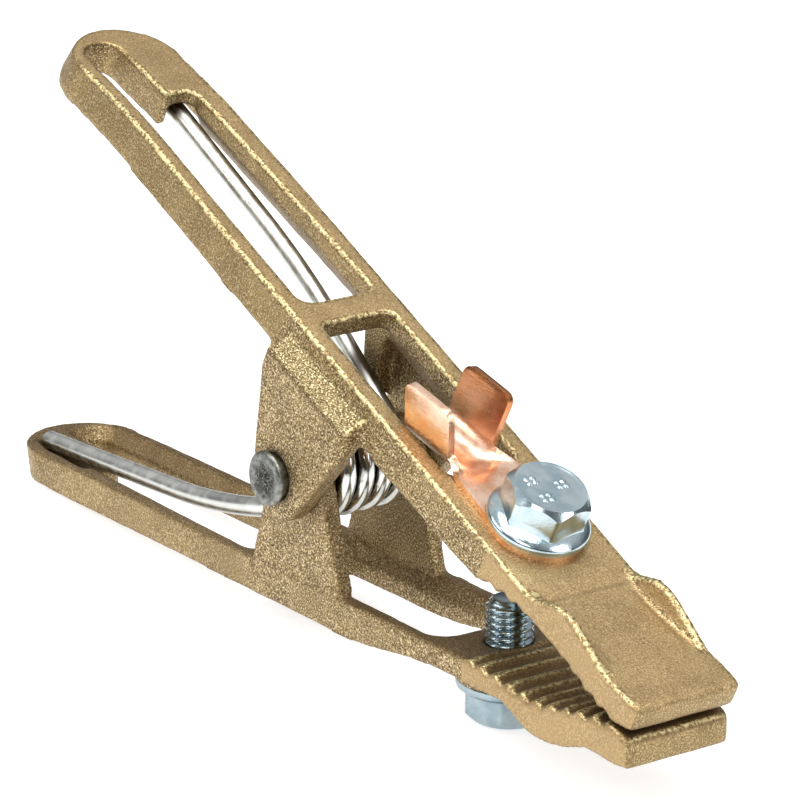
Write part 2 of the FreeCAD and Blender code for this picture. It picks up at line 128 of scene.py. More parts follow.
DOME_TOP_R = 6.2          # inside this the flange's top is level
DOME_POWER = 1.8          # how it falls away outside that
DOME_RINGS = 8
FACE_R = 5.8              # dished top of the hexagon
FACE_DISH = 0.10
FACE_STEP = 0.14          # between the rings that carry the marks
UPPER_BOLT = (UPPER_FACE + SHEET, 7.6, 12.0, 38.0)     # seat, head height, shank, turn
LOWER_BOLT = (LOWER_FACE, 7.0, 13.8, 49.0)
BOLT_STEPS = 144
MARK_GROUPS = ((-2.3, -2.4), (-0.2, 2.3), (1.9, -2.1))   # raised marks, from the bolt axis
PIPS = ((-0.55, -0.6), (-0.55, 0.6), (0.55, -0.6), (0.55, 0.6))    # and within each group
PIP_R = 0.52
PIP_EDGE = 0.16
PIP_HEIGHT = 0.2

# --- spring ---
WIRE_R = 1.75
COIL_R = 7.2
COIL_HALF = 6.4
COIL_TURNS = 3
LEG_EXIT = 15.0
LEG_KNEE_X = -30.0
LEG_TIP = (-86.5, 4.6, 19.1)
LEG_BEND = 0.45           # the bend starts and ends this share of the run from the knee
WIRE_STEPS = 32
COIL_STEPS = 340
LEG_STEPS = (14, 32, 30)  # before, in and after its bend

# --- rivet ---
RIVET_R = 4.0
RIVET_HEAD_R = 4.75
RIVET_HEAD = 0.9
RIVET_HALF = 17.5
RIVET_STEPS = 96
RIVET_PROFILE = (         # radius, and depth below the rivet's end
    (0.3, 0.30), (0.8, 0.34), (1.3, 0.34), (1.8, 0.33), (2.3, 0.31), (2.8, 0.28), (3.1, 0.2),
    (3.4, 0.06), (3.8, 0.0), (4.2, 0.04), (4.5, 0.16), (4.68, 0.32), (RIVET_HEAD_R, 0.55),
    (RIVET_HEAD_R, RIVET_HEAD - 0.1), (4.66, RIVET_HEAD), (RIVET_R, RIVET_HEAD),
)
RIVET_CENTRE_R = 3.3      # the hammered middle
RIVET_CREASES = 5
CREASE_DEPTH = 0.16
CREASE_R = 3.2
DENT_DEPTH = 0.10
DENT_SIZE = 0.9

# --- terminal, from the middle of its ring ---
RING_R = 8.4
RING_HOLE_R = 4.2
TERMINAL_YAW = 4.0
FAR_WING_FROM = 3.0        # the wing beyond this, on the far side, is darker and more orange,
FAR_WING_FADE = 3.0        # fully so after this much more
TAIL_DROOP = math.radians(8.0)
NECK_START = 0.4          # in ring radii: how far behind the middle the neck starts,
NECK_ROOT = 0.9           # and its half width there
NECK_X = -12.5
NECK_HALF = 6.4
BARREL_FRONT = -17.5
BARREL_BACK = -28.8
BARREL_R = 5.2
BARREL_ARC = math.radians(62.0)
BARREL_SINK = 1.0
WING_TOP = (6.6, 10.6)
WING_CORNER = 1.7
RING_ROWS = 13            # rows of cells along the ring,
NECK_ROWS = (-2.0, -4.0, -7.0, -10.0)
FLARE_ROWS = 8            # from the neck to the barrel,
BARREL_ROWS = 14          # and along the barrel
FLAT_CELLS = 8            # cells from the sheet's middle line to a wing's root
WING_CELLS = 9            # and up the wing
SHEET_BEVEL = 0.36

# --- colours, linear; a pair is a darker and a paler patch ---
BRASS_FACE = ((0.35, 0.240, 0.108), (0.42, 0.292, 0.136))
BRASS_SIDE = ((0.262, 0.183, 0.080), (0.340, 0.240, 0.108))
# painted shade for an ear's sloping shoulder
BRASS_SHOULDER_SHADE = (0.21, 0.17, 0.078)
BRASS_PIT = (0.065, 0.039, 0.016)
BRASS_GRAIN = (0.83, 0.68, 0.42)
BRASS_GRIME = (0.13, 0.075, 0.03)
# burnished edges, and painted highlight on the teeth's crests and ends
BRASS_BURNISH_AND_HIGHLIGHT = (0.72, 0.60, 0.31)
# painted shade for inward faces and the teeth's grooves
BRASS_SHADE = (0.14, 0.085, 0.038)
# dark seam lines, and painted shade in creases
BRASS_SEAM_AND_CREASE_SHADE = (0.07, 0.045, 0.02)
BRASS_FILED = (0.50, 0.345, 0.165)
# painted shade for each lever's hollows
UPPER_HOLLOW_SHADE = (0.42, 0.29, 0.15)
LOWER_HOLLOW_SHADE = (0.115, 0.066, 0.027)
UPPER_ZINC = ((0.42, 0.54, 0.60), (0.55, 0.66, 0.70))
# the lower bolt's zinc, painted darker as shade under the jaw
LOWER_ZINC_SHADED = ((0.27, 0.35, 0.39), (0.36, 0.44, 0.47))
ZINC_SPOT = (0.24, 0.25, 0.26)
STEEL = ((0.62, 0.63, 0.60), (0.76, 0.77, 0.74))
STEEL_SPOT = (0.22, 0.2, 0.17)
# painted shade where the spring is shut in
STEEL_HOLLOW_SHADE = (0.09, 0.07, 0.05)
RIVET_STEEL = ((0.12, 0.125, 0.115), (0.27, 0.275, 0.25))
RIVET_DARK = (0.03, 0.028, 0.025)
COPPER = ((0.82, 0.44, 0.26), (0.93, 0.68, 0.53))
COPPER_SCRATCH = (0.96, 0.76, 0.64)
# the far wing's darker orange
COPPER_FAR_WING = (0.55, 0.20, 0.062)
COPPER_SPOT = (0.45, 0.17, 0.09)

# --- studio, in metres ---
DARK_SIDE = (0.78, -0.60, 0.17)      # the room is dimmer this way
DIMMING = (              # how far towards it, and how much light is left
    ("From Min", 0.45), ("From Max", 0.85), ("To Min", 1.0), ("To Max", 0.35),
)
ROOM_LEVELS = ((0.0, 0.14), (0.22, 0.18), (0.5, 0.85), (1.0, 1.05))     # height, and light
ROOM_STRENGTH = 0.75
FLOOR_HALF = 3.0
FLOOR_GREY = (0.5, 0.5, 0.5, 1)
FLOOR_GLOW = 0.72
LIGHT_AIM = (0, 0, 0.035)
SOFTBOXES = (             # name, place, size, power
    ("overhead", (0.12, -0.12, 0.8), (0.7, 0.6), 7.0),
    ("left_front", (-0.35, -0.65, 0.45), (0.5, 0.4), 2.1),
    ("right", (0.75, 0.35, 0.35), (0.35, 0.5), 1.8),
    ("front", (0.50, -0.52, 0.50), (0.30, 0.30), 1.6),
)

# --- camera: place in millimetres in the part's frame, turn in degrees ---
CAMERA_LENS = 207.05
CAMERA_AT = (581.08, -439.34, 310.23)
CAMERA_TURN = (69.7035, -2.6997, 53.254)


# ---------- mesh helpers ----------

def piece(name, mesh, material, body, sharp=None):
    """A finished piece: shaded, given its material, and riding on a body, if one is given."""
    obj = bpy.data.objects.new(name, mesh)
    bpy.context.scene.collection.objects.link(obj)
    mesh.materials.clear()
    mesh.materials.append(material)
    mesh.shade_smooth()
    if sharp is not None:
        mesh.set_sharp_from_angle(angle=math.radians(sharp))
    if body is not None:
        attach(obj, body)
    return obj


def applied(obj):
    """The object's mesh with its modifiers applied; the object itself is removed."""
    bpy.context.view_layer.update()
    graph = bpy.context.evaluated_depsgraph_get()
    mesh = bpy.data.meshes.new_from_object(obj.evaluated_get(graph))
    bpy.data.objects.remove(obj)
    return mesh


def scratch(name, mesh):
    """An object to hang modifiers on, removed again afterwards."""
    obj = bpy.data.objects.new(name, mesh)
    bpy.context.scene.collection.objects.link(obj)
    return obj


def skin(name, rings, place):
    """A closed skin through rings of equal point counts, given in millimetres, capped at its ends."""
    count = len(rings[0])
    points = [place @ (Vector(p) * MM) for ring in rings for p in ring]
    faces = []
    for row in range(len(rings) - 1):
        for i in range(count):
            a = row * count + i
            b = row * count + (i + 1) % count
            faces.append((a, b, b + count, a + count))
    last = (len(rings) - 1) * count
    faces.append(tuple(reversed(range(count))))
    faces.append(tuple(range(last, last + count)))
    mesh = bpy.data.meshes.new(name)
    mesh.from_pydata(points, [], faces)
    tidy = bmesh.new()
    tidy.from_mesh(mesh)
    bmesh.ops.recalc_face_normals(tidy, faces=tidy.faces)
    tidy.to_mesh(mesh)
    tidy.free()
    return mesh


def numbers(items, name):
    """One row of three numbers per vertex."""
    flat = np.empty(len(items) * 3, np.float32)
    items.foreach_get(name, flat)
    return flat.reshape(-1, 3).astype(float)


def store(mesh, name, values):
    """A number on every vertex, for the shaders."""
    layer = mesh.attributes.new(name, "FLOAT", "POINT")
    layer.data.foreach_set("value", np.asarray(values, np.float32))


# ---------- materials ----------

class Graph:
    """A material's nodes, with short ways to add the ones used here."""

    def __init__(self, name, **settings):
        self.material = bpy.data.materials.new(name)
        self.material.use_nodes = True
        self.nodes = self.material.node_tree.nodes
        self.links = self.material.node_tree.links
        self.surface = self.nodes["Principled BSDF"]
        for socket, value in settings.items():
            self.surface.inputs[socket.replace("_", " ")].default_value = value
        self.place = self.nodes.new("ShaderNodeTexCoord").outputs["Object"]

    def feed(self, socket, value):
        """Links a node's output to the socket, or sets a plain value on it."""
        if isinstance(value, bpy.types.NodeSocket):
            self.links.new(value, socket)
        else:
            socket.default_value = value

    def set(self, socket, value):
        """Feeds a socket of the material's surface."""
        self.feed(self.surface.inputs[socket], value)

    def attribute(self, name):
        """A number stored on the mesh."""
        node = self.nodes.new("ShaderNodeAttribute")
        node.attribute_name = name
        return node.outputs["Fac"]

    def stretched(self, scale, turn):
        """Object coordinates, stretched and then turned, which only picks another pattern."""
        node = self.nodes.new("ShaderNodeMapping")
        self.feed(node.inputs["Vector"], self.place)
        self.feed(node.inputs["Scale"], scale)
        self.feed(node.inputs["Rotation"], turn)
        return node.outputs["Vector"]

    def noise(self, size, detail=3.0, rough=0.55, vector=None):
        """Noise whose blotches are about size millimetres across."""
        node = self.nodes.new("ShaderNodeTexNoise")
        self.feed(node.inputs["Vector"], vector or self.place)
        self.feed(node.inputs["Scale"], 1.0 / (size * MM))
        self.feed(node.inputs["Detail"], detail)
        self.feed(node.inputs["Roughness"], rough)
        return node.outputs["Fac"]

    def span(self, value, low, high, to_low=0.0, to_high=1.0):
        """value between low and high, smoothly mapped to the other range."""
        node = self.nodes.new("ShaderNodeMapRange")
        node.interpolation_type = "SMOOTHSTEP"
        self.feed(node.inputs["Value"], value)
        self.feed(node.inputs["From Min"], low)
        self.feed(node.inputs["From Max"], high)
        self.feed(node.inputs["To Min"], to_low)
        self.feed(node.inputs["To Max"], to_high)
        return node.outputs["Result"]

    def math(self, operation, a, b):
        """Arithmetic on two values."""
        node = self.nodes.new("ShaderNodeMath")
        node.operation = operation
        self.feed(node.inputs[0], a)
        self.feed(node.inputs[1], b)
        return node.outputs["Value"]

    def mix(self, factor, a, b):
        """Colour a blended towards colour b."""
        node = self.nodes.new("ShaderNodeMix")
        node.data_type = "RGBA"
        self.feed(node.inputs["Factor"], factor)
        self.feed(node.inputs[6], a if isinstance(a, bpy.types.NodeSocket) else (*a, 1))
        self.feed(node.inputs[7], b if isinstance(b, bpy.types.NodeSocket) else (*b, 1))
        return node.outputs[2]

    def patches(self, cloud, low, high, pair):
        """Colour of darker and paler patches that follow a noise."""
        return self.mix(self.span(cloud, low, high), *pair)

    def bump(self, height, depth, strength=1.0, normal=None):
        """Relief of depth millimetres."""
        node = self.nodes.new("ShaderNodeBump")
        self.feed(node.inputs["Height"], height)
        self.feed(node.inputs["Distance"], depth * MM)
        self.feed(node.inputs["Strength"], strength)
        if normal is not None:
            self.feed(node.inputs["Normal"], normal)
        return node.outputs["Normal"]


def cast_brass(name, turn, hollow_shade_colour):
    """Sand-cast brass: gritty, with painted shade in its hollows, burnished along its edges, with
    painted highlight on its teeth.

    turn gives each lever its own pattern of upright file marks."""
    g = Graph(name, Metallic=0.85)
    wear_and_highlight = g.attribute("wear_and_highlight")
    filed = g.attribute("filed")
    calm = g.attribute("calm")
    cloud = g.noise(7.0, 4.0)
    mottle = g.noise(1.4, 3.0)
    beads = g.noise(0.62, 2.0)
    grit = g.noise(0.30, 2.0, 0.6)
    fine = g.noise(0.16, 2.0)

    # the metal itself, with dark pits and bright grains
    face = g.patches(cloud, 0.35, 0.65, BRASS_FACE)
    side = g.patches(cloud, 0.35, 0.65, BRASS_SIDE)
    colour = g.mix(g.attribute("top"), side, face)
    # painted shade darkens an ear's sloping shoulder, which the lights leave bright
    colour = g.mix(g.math("MULTIPLY", g.attribute("shoulder"), 0.8), colour, BRASS_SHOULDER_SHADE)
    contrast = g.span(calm, 0.0, 1.0, 1.0, 0.45)
    pits = g.math("MULTIPLY", contrast, g.span(grit, 0.48, 0.34))
    grains = g.math("MULTIPLY", contrast, g.span(grit, 0.53, 0.66))
    colour = g.mix(pits, colour, BRASS_PIT)
    colour = g.mix(grains, colour, BRASS_GRAIN)

    # burnished beads along the edges, with grime between them; on the teeth's crests and ends the
    # burnish is partly painted highlight
    edge = g.span(wear_and_highlight, 0.05, 0.35)
    grime = g.math("MULTIPLY", g.math("MULTIPLY", edge, g.span(beads, 0.50, 0.42)), 0.8)
    burnish_and_highlight = g.math("MULTIPLY", g.span(wear_and_highlight, 0.35, 0.8), g.span(beads, 0.42, 0.55, 0.15, 0.95))
    colour = g.mix(grime, colour, BRASS_GRIME)
    colour = g.mix(burnish_and_highlight, colour, BRASS_BURNISH_AND_HIGHLIGHT)

    # painted shade in hollows, on undersides and in the teeth's grooves; dark seams, with painted
    # shade in creases; file-dressed jaw sides
    hollow = g.span(g.attribute("open"), 0.50, 0.08)
    hollow_shade = g.math("MULTIPLY", hollow, g.span(mottle, 0.75, 0.30, 0.78, 1.0))
    colour = g.mix(hollow_shade, colour, hollow_shade_colour)
    colour = g.mix(g.attribute("shade"), colour, BRASS_SHADE)
    colour = g.mix(g.math("MULTIPLY", g.attribute("seam_and_crease_shade"), 0.75), colour, BRASS_SEAM_AND_CREASE_SHADE)
    colour = g.mix(g.math("MULTIPLY", filed, 0.5), colour, BRASS_FILED)
    g.set("Base Color", colour)
    rough = g.math("ADD", g.span(grit, 0.3, 0.7, 0.50, 0.38), g.math("MULTIPLY", wear_and_highlight, -0.08))
    g.set("Roughness", rough)

    marks = g.noise(0.3, 2.0, 0.5, g.stretched((1.0, 1.0, 0.06), (0, -turn, 0)))
    normal = g.bump(cloud, 0.4, 0.4)
    normal = g.bump(beads, 0.22, g.span(wear_and_highlight, 0.1, 0.6, 0.2, 0.9), normal)
    normal = g.bump(g.math("MULTIPLY", marks, filed), 0.12, 0.8, normal)
    normal = g.bump(grit, 0.22, g.span(calm, 0.0, 1.0, 1.0, 0.3), normal)
    normal = g.bump(fine, 0.05, 0.5, normal)
    g.set("Normal", normal)
    return g.material


def zinc_plate(name, pair):
    """Blue-white zinc with a faint drawn grain and a few rub marks."""
    g = Graph(name, Metallic=1.0)
    cloud = g.noise(3.5, 3.0)
    grain = g.noise(0.25, 2.0)
    rubs = g.noise(0.35, 2.0, 0.5, g.stretched((0.12, 1.0, 1.0), (0.4, 0.3, 0.8)))
    colour = g.patches(cloud, 0.35, 0.65, pair)
    colour = g.mix(g.span(grain, 0.62, 0.75, 0.0, 0.4), colour, ZINC_SPOT)
    g.set("Base Color", colour)
    g.set("Roughness", g.span(cloud, 0.3, 0.7, 0.12, 0.22))
    normal = g.bump(rubs, 0.03, 0.5)
    normal = g.bump(grain, 0.02, 0.6, normal)
    g.set("Normal", normal)
    return g.material


def spring_steel(name, smoothest, roughest):
    """Drawn wire with fine scuffs, and painted shade where it is shut in."""
    g = Graph(name, Metallic=1.0)
    cloud = g.noise(2.2, 3.0)
    grain = g.noise(0.2, 2.0)
    colour = g.patches(cloud, 0.35, 0.7, STEEL)
    colour = g.mix(g.span(grain, 0.64, 0.78, 0.0, 0.5), colour, STEEL_SPOT)
    # painted shade where the wire is shut in by itself and the levers
    colour = g.mix(g.span(g.attribute("open"), 0.55, 0.15, 0.0, 0.9), colour, STEEL_HOLLOW_SHADE)
    g.set("Base Color", colour)
    g.set("Roughness", g.span(cloud, 0.3, 0.7, smoothest, roughest))
    g.set("Normal", g.bump(grain, 0.012, 0.5))
    return g.material


def rivet_steel():
    """Spun-over steel: smooth rim, hammered and speckled middle."""
    g = Graph("rivet_steel", Metallic=1.0)
    centre = g.attribute("centre")
    cloud = g.noise(1.1, 3.0)
    grain = g.noise(0.3, 3.0, 0.65)
    colour = g.patches(cloud, 0.35, 0.65, RIVET_STEEL)
    dark = g.math("MULTIPLY", centre, g.span(grain, 0.60, 0.45))
    colour = g.mix(dark, colour, RIVET_DARK)
    g.set("Base Color", colour)
    g.set("Roughness", g.span(grain, 0.3, 0.7, 0.26, 0.45))
    normal = g.bump(cloud, 0.10, 0.5)
    normal = g.bump(grain, 0.14, g.span(centre, 0.0, 1.0, 0.15, 0.9), normal)
    g.set("Normal", normal)
    return g.material


def copper():
    """Pressed sheet copper with drawn scratches, darker and more orange on its far wing."""
    g = Graph("copper", Metallic=1.0)
    cloud = g.noise(4.0, 3.0)
    grain = g.noise(0.22, 2.0)
    scratches = g.noise(0.28, 2.0, 0.5, g.stretched((0.08, 1.0, 1.0), (0.1, 0.45, 0.25)))
    colour = g.patches(cloud, 0.3, 0.7, COPPER)
    colour = g.mix(g.span(scratches, 0.60, 0.74, 0.0, 0.45), colour, COPPER_SCRATCH)
    far_wing = g.math("MULTIPLY", g.attribute("far_wing"), g.span(cloud, 0.25, 0.6, 0.7, 1.0))
    colour = g.mix(far_wing, colour, COPPER_FAR_WING)
    colour = g.mix(g.span(grain, 0.64, 0.78, 0.0, 0.4), colour, COPPER_SPOT)
    g.set("Base Color", colour)
    g.set("Roughness", g.span(cloud, 0.3, 0.7, 0.17, 0.28))
    normal = g.bump(cloud, 0.12, 0.4)
    normal = g.bump(scratches, 0.04, 0.6, normal)
    g.set("Normal", g.bump(grain, 0.02, 0.5, normal))
    return g.material


# ---------- castings ----------

def edge_points(mesh, outer):
    """Points along a lever's sharp convex edges: those bounding its outer face, or the others."""
    points = []
    work = bmesh.new()
    work.from_mesh(mesh)
    work.normal_update()
    for edge in work.edges:
        if len(edge.link_faces) != 2 or edge.calc_face_angle_signed() < SHARP_ANGLE:
            continue
        a, b = (v.co for v in edge.verts)
        on_ear = abs(a.y) > EAR_ROOT * MM
        bounds_outside = max(face.normal.z for face in edge.link_faces) > 0.7
        if (bounds_outside and not on_ear) == outer:
            steps = max(1, int((b - a).length / (EDGE_STEP * MM)))
            points += [a.lerp(b, i / steps) for i in range(steps + 1)]
    work.free()
    return points


def nearness(spots, points, reach):
    """For every spot, 1 at the points, falling to 0 at reach millimetres."""
    tree = kdtree.KDTree(len(points))
    for i, point in enumerate(points):
        tree.insert(point, i)
    tree.balance()
    away = np.array([tree.find(spot)[2] for spot in spots])
    close = np.clip(1 - away / (reach * MM), 0, 1)
    return close * close * (3 - 2 * close)


def sky_directions(count):
    """Directions spread evenly over a sphere."""
    turn = math.pi * (3 - math.sqrt(5))
    out = []
    for i in range(count):
        z = 1 - (2 * i + 1) / count
        r = math.sqrt(1 - z * z)
        out.append(Vector((r * math.cos(turn * i), r * math.sin(turn * i), z)))
    return out


def openness(spots, normals, solid, count=40, stride=5):
    """For every spot, how much of the space it faces is open, judged at every few of them."""
    tree = bvhtree.BVHTree.FromPolygons([v.co for v in solid.vertices],
                                        [tuple(p.vertices) for p in solid.polygons])
    directions = sky_directions(count)
    sample = kdtree.KDTree(len(spots) // stride + 1)
    found = []
    for index in range(0, len(spots), stride):
        normal = Vector(normals[index])
        start = Vector(spots[index]) + normal * 0.5 * MM      # just off the surface
        seen = total = 0.0
        for direction in directions:
            facing = normal.dot(direction)
            if facing > 0.05:
                total += facing
                if tree.ray_cast(start, direction, SKY_REACH * MM)[0] is None:
                    seen += facing
        sample.insert(spots[index], len(found))
        found.append(seen / total)
    sample.balance()
    values = []
    for spot in spots:
        near = sample.find_n(spot, 4)
        values.append(sum(found[i] for _, i, _ in near) / len(near))
    return values


def relax(mesh):
    """Rounds the ends of the teeth, the corners of the nose and the arch, as rumbling does."""
    spots = numbers(mesh.vertices, "co")
    x, y, z = (spots / MM).T
    tooth_ends = np.clip((np.abs(y) - ROUND_FROM_Y) / TOOTH_FADE, 0, 1)
    tooth_ends *= (z < TEETH_Z) * (x > JAW_START_X)
    nose = np.clip((x - NOSE_ROUND_X) / NOSE_FADE, 0, 1)
    arch = (np.hypot(x - ARCH[0], z - ARCH[1]) < ARCH_R) & (np.abs(y) > ARCH_Y)
    weight = np.maximum(TOOTH_ROUNDING * tooth_ends, CORNER_ROUNDING * np.maximum(nose, arch))
    pairs = np.empty(len(mesh.edges) * 2, np.int32)
    mesh.edges.foreach_get("vertices", pairs)
    one, other = pairs.reshape(-1, 2).T
    count = np.bincount(pairs, minlength=len(spots))
    for _ in range(RELAX_ROUNDS):
        for axis in range(3):
            along = spots[:, axis]
            total = np.bincount(one, along[other], len(spots))
            total += np.bincount(other, along[one], len(spots))
            spots[:, axis] = along + weight * (total / count - along)
    mesh.vertices.foreach_set("co", spots.astype(np.float32).ravel())
    mesh.update()


def within(values, limits):
    """True where a value lies between the two limits."""
    return (values > limits[0]) & (values < limits[1])


def stripe(values, middle, half):
    """1 at the middle, falling to 0 at the distance half from it."""
    return np.clip(1 - np.abs(values - middle) / half, 0, 1)


def brass_masks(mesh, solid, edge_wear):
    """Stores what the brass shader needs to know about every vertex of a lever in its own frame."""
    spots = numbers(mesh.vertices, "co")
    normals = numbers(mesh.vertices, "normal")
    x, y, z = (spots / MM).T
    y = np.abs(y)
    out = normals[:, 2]
    sideways = np.abs(normals[:, 1])
    jaw = x > JAW_START_X
    nose = x > NOSE_PLAIN_X
    toothed = jaw & (out < -0.2)

    outer = edge_wear * nearness(spots, edge_points(solid, True), OUTER_REACH)
    outer *= np.where(nose, 0.4, np.clip((x - TIP_WEAR_X) / TIP_WEAR_RUN, 0.2, 1.0))
    inner_edges = edge_points(solid, False)
    # the teeth's crests get more: partly wear, partly painted highlight
    inner = nearness(spots, inner_edges, INNER_REACH) * np.where(jaw, 0.85, 0.5)
    by_edge = nearness(spots, inner_edges, JAW_REACH)
    # painted highlight on the teeth's ends, as if they caught the light
    tooth_end_highlight = jaw & (z < TEETH_Z) & ((y > ROUND_FROM_Y) | nose) & (sideways < 0.9)
    store(mesh, "wear_and_highlight", np.maximum(np.maximum(outer, inner), by_edge * tooth_end_highlight))
    store(mesh, "open", openness(spots, normals, solid))
    # painted shade in the teeth's grooves and on faces turned inwards
    grooves = 0.75 * toothed * (1 - by_edge)
    store(mesh, "shade", np.where(jaw, grooves, 0.6 * np.clip(-out, 0, 1)))

    filed = jaw & (sideways > 0.8)
    store(mesh, "filed", filed)
    top = np.maximum(np.clip((out - 0.75) / 0.15, 0, 1), 0.7 * filed)
    store(mesh, "top", top)
    # an ear's slope, which gets painted shade
    slope = within(x, SHOULDER[0]) & within(y, SHOULDER[1]) & within(z, SHOULDER[2]) & (out > 0.3)
    store(mesh, "shoulder", slope)
    handle_walls = (x < HANDLE_FROM_X) & (sideways > 0.7)
    calm = np.maximum(np.maximum(1.0 * nose, 0.8 * handle_walls), 0.8 * toothed)
    store(mesh, "calm", np.maximum(top, calm) * ~slope)

    shoulder_x = (SHOULDER[0][0], SHOULDER[0][1] - 1)      # the crease stops short of the front
    # painted shade in the creases at the foot of an ear's slope and of a gusset; the parting line is a
    # dark cast line
    crease = stripe(z, CREASE_Z, LINE_HALF) * ((y > CREASE_Y) & within(x, shoulder_x))
    parting = 0.9 * stripe(x, PARTING_X, LINE_HALF) * ((out > 0.8) & (y < PARTING_Y))
    foot = 0.6 * stripe(y, GUSSET_FOOT_Y, GUSSET_FOOT_HALF) * (within(x, GUSSET_FOOT_X) & (out > 0.4))
    store(mesh, "seam_and_crease_shade", np.maximum(np.maximum(crease, parting), foot))


def swell(mesh):
    """Makes the skin slightly uneven."""
    spots = numbers(mesh.vertices, "co")
    normals = numbers(mesh.vertices, "normal")
    rise = np.empty(len(spots))
    for i, spot in enumerate(spots):
        at = Vector(spot) / MM
        rise[i] = sum(height * noise.noise(at / size) for size, height in SWELL)
    spots += normals * (rise * MM)[:, None]
    mesh.vertices.foreach_set("co", spots.astype(np.float32).ravel())
    mesh.update()


def casting(node, place, material, body, edge_wear):
    """A lever with cast-rounded edges and a slightly uneven skin, over the CAD node's shape."""
    solid = frame["nodes"][node].data.copy()
    solid.transform(place.inverted())
    weld = bmesh.new()
    weld.from_mesh(solid)
    bmesh.ops.remove_doubles(weld, verts=weld.verts, dist=WELD * MM)
    weld.to_mesh(solid)
    weld.free()
    blank = scratch("blank", solid.copy())
    remesh = blank.modifiers.new("cast", "REMESH")
    remesh.mode = "VOXEL"
    remesh.voxel_size = VOXEL * MM
    remesh.use_smooth_shade = True
    soften = blank.modifiers.new("soften", "SMOOTH")
    soften.factor = 0.5
    soften.iterations = CAST_SMOOTHING
    mesh = applied(blank)
    relax(mesh)
    brass_masks(mesh, solid, edge_wear)
    swell(mesh)
    mesh.transform(place)
    mesh.update()
    obj = piece(node + "_casting", mesh, material, body)
    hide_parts(node)


# ---------- bolts and rivet ----------

def hex_radius(turned):
    """Distance from the axis to a hexagon's side, turned degrees from one of its blunt corners."""
    return min(HEX_HALF / math.cos(math.radians(turned % 60 - 30)), HEX_CORNER_R)


def thread_radius(turned, z):
    """Radius of a vee thread with flat crests and roots."""
    phase = (z / THREAD_PITCH - turned / 360) % 1
    depth = 1 - abs(2 * phase - 1) * THREAD_SLOPE
    return BOLT_R - THREAD_DEPTH * min(max(depth, 0.0), THREAD_ROOT)


def flange_height(radius):
    """Height of the flange's domed top, falling from the hexagon out to the rim."""
    out = max(0.0, (radius - DOME_TOP_R) / (FLANGE_R - DOME_TOP_R))
    return FLANGE_CREST - (FLANGE_CREST - FLANGE_RIM) * out ** DOME_POWER


def head_marks(x, y):
    """Height of the small raised pips on top of a head: three groups of four."""
    height = 0.0
    for group_x, group_y in MARK_GROUPS:
        for pip_x, pip_y in PIPS:
            away = math.hypot(x - group_x - pip_x, y - group_y - pip_y)
            height = max(height, PIP_HEIGHT * min(1.0, max(0.0, (PIP_R - away) / PIP_EDGE)))
    return height


def flange_bolt(name, node, bolt, place, material, body):
    """A threaded shank, domed flange and chamfered hexagon, as one skin from tip to head."""
    seat, head, shank, turn = bolt
    turns = [360 * i / BOLT_STEPS for i in range(BOLT_STEPS)]

    def ring(radius_at, height_at):
        points = []
        for turned in turns:
            radius = radius_at(turned)
            angle = math.radians(turn + turned)
            height = height_at(turned, radius)
            points.append((BOLT_X + radius * math.cos(angle), radius * math.sin(angle), seat + height))
        return points

    def plain(radius, height):
        return ring(lambda t: radius, lambda t, r: height)

    def threaded(z):
        tip = BOLT_R - TIP_CHAMFER + (z + shank)
        return ring(lambda t: min(thread_radius(t, z), tip), lambda t, r: z)

    rings = [plain(radius, height - shank) for radius, height in TIP_PROFILE]
    step = THREAD_PITCH / THREAD_ROWS
    rings += [threaded(-shank + 0.1 + step * i) for i in range(int((shank - 0.6) / step))]
    rings += [plain(BOLT_R, -0.4), plain(BOLT_R, 0.02)]
    rings += [plain(radius, height) for radius, height in SEAT_PROFILE]
    for i in range(DOME_RINGS + 1):
        share = i / DOME_RINGS

        def dome_radius(t):
            return (1 - share) * DOME_R + share * (hex_radius(t) + HEX_FILLET)

        rings.append(ring(dome_radius, lambda t, r: flange_height(r)))
    for share in (0.06, 0.3, 0.7, 1.0):
        def wall_height(t, r):
            low = flange_height(r)
            return low + share * (head - (hex_radius(t) - HEX_TOP_R) - low)

        rings.append(ring(hex_radius, wall_height))
    for share in (0.1, 0.5, 0.9, 1.0):
        def chamfer_radius(t):
            return hex_radius(t) + share * (HEX_TOP_R - hex_radius(t))

        rings.append(ring(chamfer_radius, lambda t, r: head - (r - HEX_TOP_R)))
    radius = FACE_R
    while radius > 0.3:
        dish = FACE_DISH * min(1.0, (FACE_R - radius) / 0.5)

        def face_height(t, r):
            angle = math.radians(turn + t)
            return head - dish + head_marks(r * math.cos(angle), r * math.sin(angle))

        rings.append(ring(lambda t: radius, face_height))
        radius -= FACE_STEP
    mesh = skin(name, rings, place)
    obj = piece(name, mesh, material, body, sharp=28)
    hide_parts(node)


def pivot_rivet(material):
    """A shaft with both ends spun over: a soft rim round a hammered, star-creased middle."""
    rings = []
    centre = []
    sided = [(r, d, -1) for r, d in RIVET_PROFILE] + [(r, d, 1) for r, d in reversed(RIVET_PROFILE)]
    for radius, depth, side in sided:
        ring = []
        for i in range(RIVET_STEPS):
            angle = 2 * math.pi * i / RIVET_STEPS
            star = math.cos(RIVET_CREASES * angle + side)
            crease = CREASE_DEPTH * max(0.0, 1 - radius / CREASE_R) * star
            at = Vector((math.cos(angle) * radius, math.sin(angle) * radius, side))
            dent = DENT_DEPTH * noise.noise(at / DENT_SIZE)
            inward = depth + (crease + dent if radius < RIVET_CENTRE_R else 0.0)
            y = side * (RIVET_HALF - inward)
            ring.append((radius * math.cos(angle), y, radius * math.sin(angle)))
            centre.append(min(1.0, max(0.0, (RIVET_CENTRE_R - radius) / 0.9)))
        rings.append(ring)
    mesh = skin("rivet", rings, Matrix.Translation(PIVOT))
    store(mesh, "centre", centre)
    obj = piece("pivot_rivet_spun", mesh, material, "upper", sharp=40)
    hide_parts("pivot_rivet")


# ---------- spring ----------

